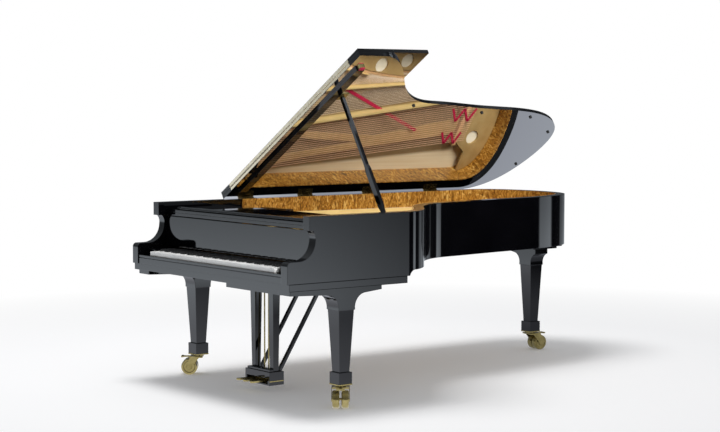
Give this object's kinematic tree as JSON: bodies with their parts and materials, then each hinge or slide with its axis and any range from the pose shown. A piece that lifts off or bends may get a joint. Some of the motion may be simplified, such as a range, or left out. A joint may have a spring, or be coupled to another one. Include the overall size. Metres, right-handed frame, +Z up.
{
  "type": "concert grand piano",
  "caption": "Concert grand piano in black lacquer with its lid propped open, gilded iron plate, keyboard, pedal lyre and brass casters.",
  "frame": {"origin": "on the floor under the middle of the whole outline, lid and casters included", "axes": "+Y from the keyboard to the tail, +X from bass to treble, +Z up"},
  "size_m": [1.5975, 2.7815, 1.8758],
  "materials": {
    "black_lacquer": "polished lacquer",
    "burl_veneer": "polished",
    "spruce": "satin",
    "maple": "satin",
    "gold_iron": "satin",
    "steel_wire": "polished",
    "brass": "polished",
    "key_white": "gloss",
    "key_black": "satin",
    "felt": "matte",
    "rubber": "matte"
  },
  "bodies": {
    "case": {"rim_outer": "black_lacquer", "rim_veneer": "burl_veneer", "rim_inner": "maple", "keybed": "black_lacquer", "belly_rail": "maple", "case_braces": "spruce", "tail_leg_block": "black_lacquer", "tail_leg_pad": "black_lacquer", "under_box": "black_lacquer", "soundboard": "spruce", "soundboard_ribs": "spruce", "bridges": "maple", "pinblock": "maple", "iron_plate": "gold_iron", "strings": "steel_wire", "key_slip": "black_lacquer", "key_blocks": "black_lacquer", "lock_rail": "black_lacquer", "music_shelf": "black_lacquer", "hinge_case_leaves": "brass", "prop_bracket": "brass", "leg_front_left": "black_lacquer", "leg_front_right": "black_lacquer", "leg_tail": "black_lacquer", "leg_plates": "brass", "pedal_box": "black_lacquer", "lyre_block": "black_lacquer", "lyre_posts": "black_lacquer", "lyre_braces": "black_lacquer", "pedal_axle": "brass"},
    "key_frame": {"key_frame": "maple", "action_rail": "maple", "hammers": "felt"},
    "white_keys": {"white_keys": "key_white"},
    "black_keys": {"black_keys": "key_black"},
    "fallboard": {"fallboard": "black_lacquer"},
    "music_desk": {"music_desk": "black_lacquer"},
    "lid": {"lid": "black_lacquer", "flap_hinge": "brass", "lid_batten": "black_lacquer", "lid_bumpers": "rubber", "prop_cup": "brass", "hinge_lid_leaves": "brass"},
    "lid_flap": {"lid_flap": "black_lacquer", "flap_leaf": "brass"},
    "lid_prop": {"lid_prop": "black_lacquer"},
    "dampers": {"dampers": "black_lacquer"},
    "pedal_left": {"pedal_left": "brass"},
    "pedal_rod_left": {"pedal_rod_left": "brass"},
    "pedal_middle": {"pedal_middle": "brass"},
    "pedal_rod_middle": {"pedal_rod_middle": "brass"},
    "pedal_right": {"pedal_right": "brass"},
    "pedal_rod_right": {"pedal_rod_right": "brass"},
    "caster_fork_front_left": {"caster_fork_front_left": "brass"},
    "caster_wheels_front_left": {"caster_wheels_front_left": "brass"},
    "caster_fork_front_right": {"caster_fork_front_right": "brass"},
    "caster_wheels_front_right": {"caster_wheels_front_right": "brass"},
    "caster_fork_tail": {"caster_fork_tail": "brass"},
    "caster_wheels_tail": {"caster_wheels_tail": "brass"}
  },
  "joints": [
    {"name": "lid_hinge", "type": "hinge", "parent": "case", "child": "lid", "pos_m": [-0.765, 0, 1.016], "axis": [0, -1, 0], "range_deg": [0, 25]},
    {"name": "flap_fold", "type": "hinge", "parent": "lid", "child": "lid_flap", "pos_m": [-0.12959, -0.7635, 1.44284], "axis": [-0.849, 0, -0.5284], "range_deg": [-180, 0]},
    {"name": "prop_pivot", "type": "hinge", "parent": "case", "child": "lid_prop", "pos_m": [0.68, -0.696, 0.986], "axis": [-0.1551, -0.9879, 0], "range_deg": [0, 52]},
    {"name": "fallboard_hinge", "type": "hinge", "parent": "case", "child": "fallboard", "pos_m": [0, -1.185, 0.768], "axis": [1, 0, 0], "range_deg": [0, 86]},
    {"name": "desk_hinge", "type": "hinge", "parent": "case", "child": "music_desk", "pos_m": [0, -1.176, 0.9783], "axis": [1, 0, 0], "range_deg": [0, 70]},
    {"name": "keyboard_shift", "type": "slide", "parent": "case", "child": "key_frame", "axis": [1, 0, 0], "range_m": [0, 0.003], "stiffness_N_per_m": 2000, "springref_m": -0.004},
    {"name": "white_key_press", "type": "hinge", "parent": "key_frame", "child": "white_keys", "pos_m": [0, -1.128, 0.725], "axis": [1, 0, 0], "range_deg": [0, 2.4], "stiffness_Nm_per_rad": 300, "springref_deg": -2.86},
    {"name": "black_key_press", "type": "hinge", "parent": "key_frame", "child": "black_keys", "pos_m": [0, -1.128, 0.725], "axis": [1, 0, 0], "range_deg": [0, 2.4], "stiffness_Nm_per_rad": 120, "springref_deg": -2.86},
    {"name": "damper_lift", "type": "slide", "parent": "case", "child": "dampers", "axis": [0, 0, 1], "range_m": [0, 0.004]},
    {"name": "pedal_left_press", "type": "hinge", "parent": "case", "child": "pedal_left", "pos_m": [-0.066, -1.008, 0.062], "axis": [1, 0, 0], "range_deg": [0, 6]},
    {"name": "rod_left_rise", "type": "slide", "parent": "case", "child": "pedal_rod_left", "axis": [0, 0, 1], "range_m": [0, 0.004]},
    {"name": "pedal_middle_press", "type": "hinge", "parent": "case", "child": "pedal_middle", "pos_m": [0, -1.008, 0.062], "axis": [1, 0, 0], "range_deg": [0, 6], "stiffness_Nm_per_rad": 20, "springref_deg": -5.73},
    {"name": "rod_middle_rise", "type": "slide", "parent": "case", "child": "pedal_rod_middle", "axis": [0, 0, 1], "range_m": [0, 0.004]},
    {"name": "pedal_right_press", "type": "hinge", "parent": "case", "child": "pedal_right", "pos_m": [0.066, -1.008, 0.062], "axis": [1, 0, 0], "range_deg": [0, 6], "stiffness_Nm_per_rad": 20, "springref_deg": -5.73},
    {"name": "rod_right_rise", "type": "slide", "parent": "case", "child": "pedal_rod_right", "axis": [0, 0, 1], "range_m": [0, 0.004]},
    {"name": "caster_front_left_swivel", "type": "hinge", "parent": "case", "child": "caster_fork_front_left", "pos_m": [-0.692, -0.997, 0.112], "axis": [0, 0, 1], "continuous": true},
    {"name": "caster_front_left_roll", "type": "hinge", "parent": "caster_fork_front_left", "child": "caster_wheels_front_left", "pos_m": [-0.72278, -1.0364, 0.047], "axis": [0.788, -0.6157, 0], "continuous": true},
    {"name": "caster_front_right_swivel", "type": "hinge", "parent": "case", "child": "caster_fork_front_right", "pos_m": [0.692, -0.997, 0.112], "axis": [0, 0, 1], "continuous": true},
    {"name": "caster_front_right_roll", "type": "hinge", "parent": "caster_fork_front_right", "child": "caster_wheels_front_right", "pos_m": [0.7314, -1.02778, 0.047], "axis": [0.6157, 0.788, 0], "continuous": true},
    {"name": "caster_tail_swivel", "type": "hinge", "parent": "case", "child": "caster_fork_tail", "pos_m": [-0.262, 1.243, 0.112], "axis": [0, 0, 1], "continuous": true},
    {"name": "caster_tail_roll", "type": "hinge", "parent": "caster_fork_tail", "child": "caster_wheels_tail", "pos_m": [-0.25504, 1.29251, 0.047], "axis": [-0.9903, 0.1392, 0], "continuous": true}
  ],
  "couplings": [
    {"joint": "pedal_left_press", "follows": "keyboard_shift", "rad_per_m": 34.9},
    {"joint": "rod_left_rise", "follows": "keyboard_shift", "ratio": 1.326},
    {"joint": "rod_middle_rise", "follows": "pedal_middle_press", "m_per_rad": 0.038},
    {"joint": "rod_right_rise", "follows": "pedal_right_press", "m_per_rad": 0.038},
    {"joint": "damper_lift", "follows": "pedal_right_press", "m_per_rad": 0.038}
  ]
}
